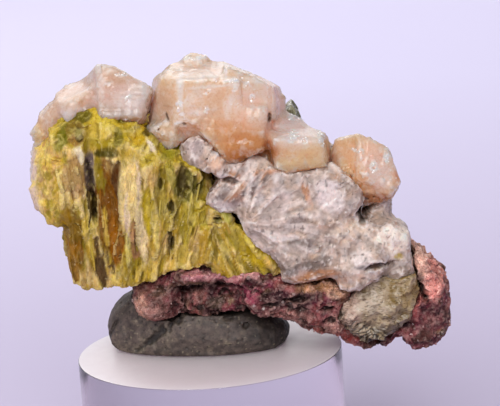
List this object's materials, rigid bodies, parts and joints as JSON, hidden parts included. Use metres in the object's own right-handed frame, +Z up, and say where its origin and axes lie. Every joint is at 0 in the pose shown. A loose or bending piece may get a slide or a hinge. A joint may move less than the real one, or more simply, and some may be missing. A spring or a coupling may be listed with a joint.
{
  "type": "calcite mineral specimen on a stand",
  "caption": "Peach calcite crystals with yellow-green columnar crystals and white quartz on red rock, held by putty on a clear round stand.",
  "frame": {"origin": "centre of the stand's flat foot", "axes": "+Z up through the stand, +X to the right as the specimen is seen from the front, +Y away from the viewer"},
  "size_m": [0.0584, 0.038, 0.069],
  "materials": {
    "calcite": "translucent, satin faces with bright edges",
    "yellow_green_crystal": "silky, striated",
    "grey_green_crystal": "vitreous",
    "quartz": "translucent, greasy broken faces",
    "olive_crystal": "vitreous, layered",
    "red_rock": "rough, granular",
    "putty": "matte, pitted",
    "acrylic": "clear side, frosted top"
  },
  "bodies": {
    "root": {"calcite_main_group": "calcite", "calcite_right_crystal": "calcite", "calcite_left_group": "calcite", "columnar_crystals": "yellow_green_crystal", "green_crystal_tip": "grey_green_crystal", "white_quartz": "quartz", "olive_inclusion": "olive_crystal", "red_rock": "red_rock", "putty": "putty", "acrylic_stand": "acrylic"}
  },
  "joints": []
}
